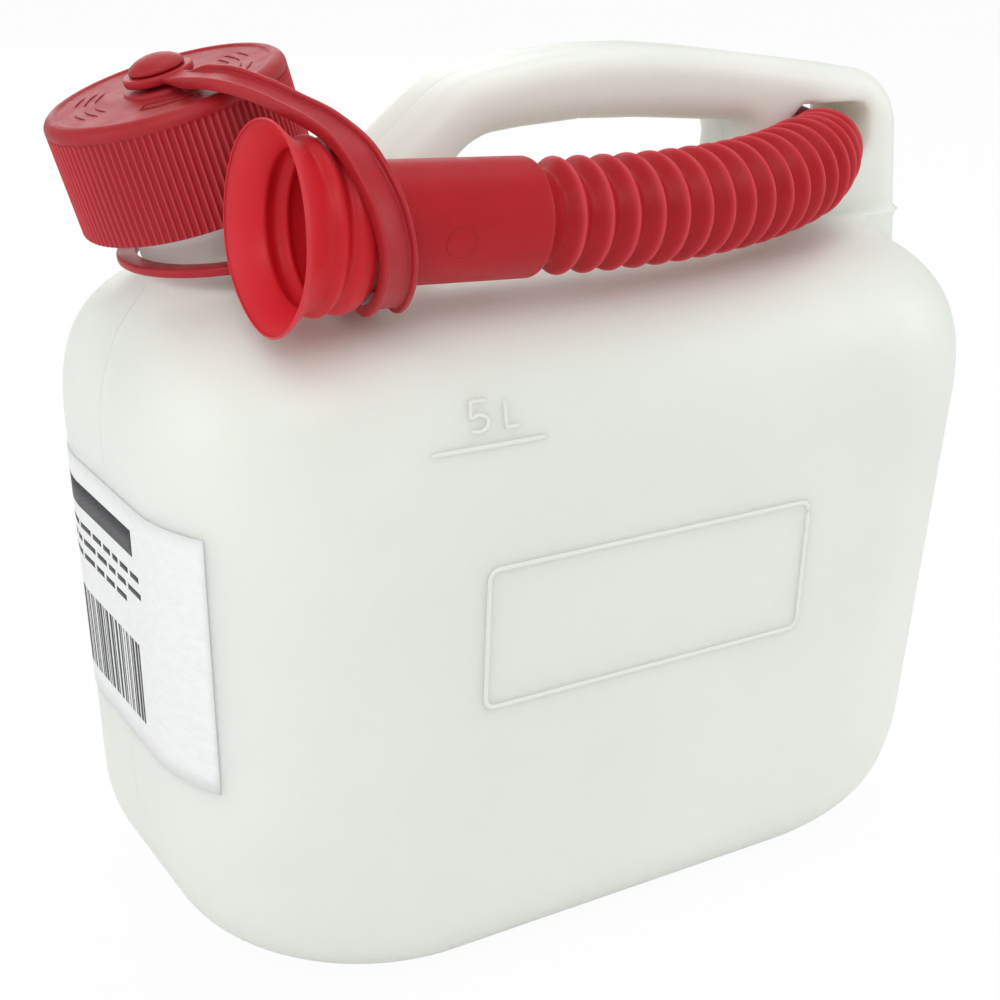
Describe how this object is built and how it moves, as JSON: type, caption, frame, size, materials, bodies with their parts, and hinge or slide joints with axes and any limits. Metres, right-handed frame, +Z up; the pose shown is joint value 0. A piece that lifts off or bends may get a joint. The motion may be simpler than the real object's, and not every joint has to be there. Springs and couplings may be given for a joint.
{
  "type": "fuel can",
  "caption": "Blow-moulded five litre fuel can with a carrying handle, a tilted neck with a screw cap on a retaining strap, and a flexible spout stored through the handle's rear post.",
  "frame": {"origin": "on the floor, under the middle of the base", "axes": "+Z up, +X from the neck end to the rear post of the handle, +Y to the back, away from the stored spout"},
  "size_m": [0.2727, 0.1549, 0.2507],
  "materials": {
    "canister": "satin, milky and translucent",
    "cap": "satin, fine texture on top",
    "cap_seal": "matt",
    "retaining_strap": "satin",
    "flexible_spout": "satin, slightly translucent",
    "label": "gloss film"
  },
  "bodies": {
    "can": {"canister": "canister", "flexible_spout": "flexible_spout", "label": "label"},
    "strap": {"retaining_strap": "retaining_strap"},
    "cap": {"cap": "cap", "cap_seal": "cap_seal"}
  },
  "joints": [
    {"name": "cap_lift", "type": "slide", "parent": "can", "child": "strap", "axis": [-0.3007, 0, 0.9537], "range_m": [0, 0.00901], "deforming": ["retaining_strap"]},
    {"name": "cap_turn", "type": "hinge", "parent": "strap", "child": "cap", "pos_m": [-0.102, 0, 0.213], "axis": [-0.3007, 0, 0.9537], "range_deg": [0, 540]}
  ],
  "couplings": [
    {"joint": "cap_lift", "follows": "cap_turn", "m_per_rad": 0.00095493}
  ]
}
